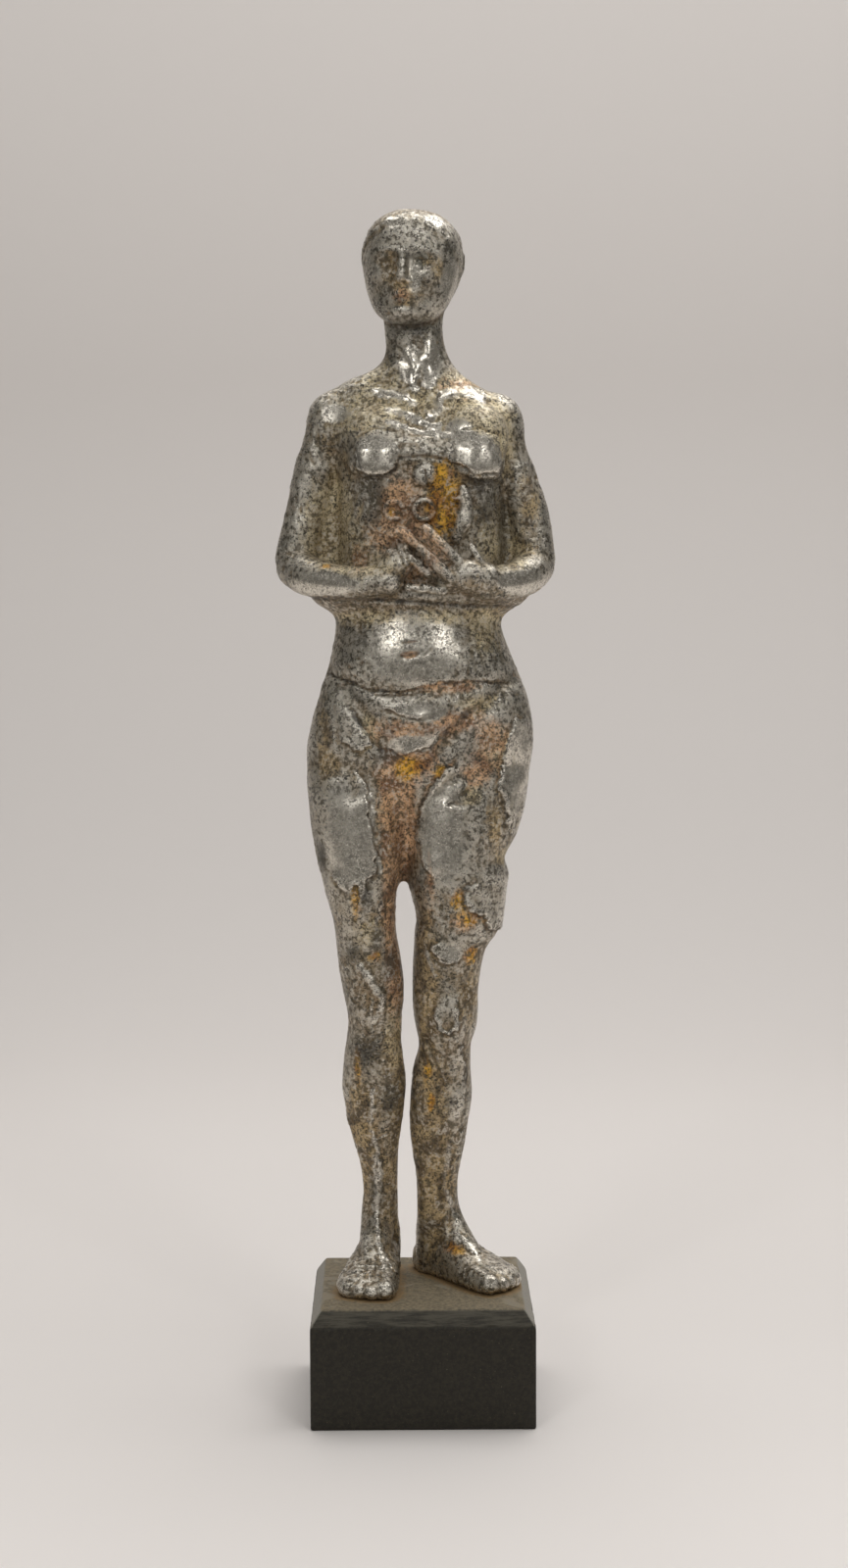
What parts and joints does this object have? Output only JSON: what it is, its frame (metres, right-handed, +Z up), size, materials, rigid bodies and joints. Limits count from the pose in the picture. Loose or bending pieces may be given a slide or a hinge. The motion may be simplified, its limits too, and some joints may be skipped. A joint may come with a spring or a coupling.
{
  "type": "female nude statuette",
  "caption": "Standing female nude statuette in silvery cast metal, hands joined at the chest, on a chamfered black stone plinth that rests on its underside.",
  "frame": {"origin": "centre of the plinth's underside", "axes": "+Z up along the figure's height, -Y towards the viewer in front of her, +X to the viewer's right"},
  "size_m": [0.1137, 0.088, 0.4861],
  "materials": {
    "cast_metal": "silvery white cast metal, burnished on the high places, with an ochre, brown and blackish patina in the recesses",
    "black_stone": "honed black stone with fine pale specks, worn arrises and dust on the top face"
  },
  "bodies": {
    "root": {"figure": "cast_metal", "plinth": "black_stone"}
  },
  "joints": []
}
